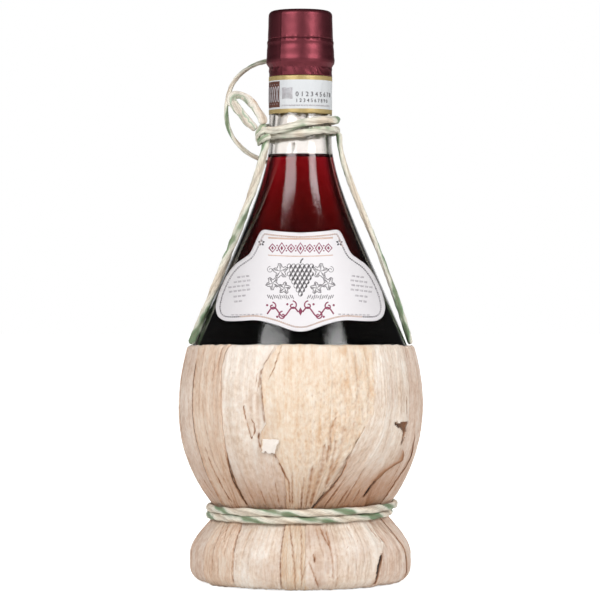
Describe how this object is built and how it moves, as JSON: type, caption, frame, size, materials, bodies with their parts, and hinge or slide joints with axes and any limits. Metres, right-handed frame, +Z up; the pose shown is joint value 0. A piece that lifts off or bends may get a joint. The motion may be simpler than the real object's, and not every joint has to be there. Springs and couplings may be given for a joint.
{
  "type": "straw-covered wine flask",
  "caption": "Round-bottomed glass wine flask in a straw-leaf basket with a cord harness and hanging loop, closed by a cork and capsule.",
  "frame": {"origin": "centre of the basket's foot on the surface that the flask stands on", "axes": "+Z up along the neck, -Y towards the front label, +X to the right seen from the label's side"},
  "size_m": [0.1104, 0.1104, 0.256],
  "materials": {
    "glass": "clear moulded glass",
    "wine": "still red wine, a liquid",
    "cork": "natural cork",
    "capsule_film": "satin shrunk film",
    "paper": "matt printed paper",
    "straw": "dry pale straw leaf",
    "straw_bundle": "bundled dry straw",
    "cord": "twisted two-colour raffia"
  },
  "bodies": {
    "bottle": {"glass_flask": "glass", "wine": "wine", "capsule_sleeve": "capsule_film", "seal_strip": "paper", "front_label": "paper", "rim_hoop": "cord", "foot_core": "straw_bundle", "leaf_01": "straw", "leaf_02": "straw", "leaf_03": "straw", "leaf_04": "straw", "leaf_05": "straw", "leaf_06": "straw", "leaf_07": "straw", "leaf_08": "straw", "leaf_09": "straw", "leaf_10": "straw", "leaf_11": "straw", "leaf_12": "straw", "leaf_13": "straw", "leaf_14": "straw", "leaf_15": "straw", "leaf_16": "straw", "waist_cord": "cord", "neck_winding": "cord", "knot": "cord", "bow_loop": "cord", "hanging_loop": "cord", "harness_left": "cord", "harness_right": "cord"},
    "cap": {"capsule_cap": "capsule_film", "capsule_disc": "capsule_film"},
    "stopper": {"cork": "cork"}
  },
  "joints": [
    {"name": "cap_lift", "type": "slide", "parent": "bottle", "child": "cap", "axis": [0, 0, 1], "range_m": [0, 0.1]},
    {"name": "cork_pull", "type": "slide", "parent": "bottle", "child": "stopper", "axis": [0, 0, 1], "range_m": [0, 0.045]}
  ],
  "couplings": [
    {"joint": "cork_pull", "follows": "cap_lift", "ratio": 0.45}
  ]
}
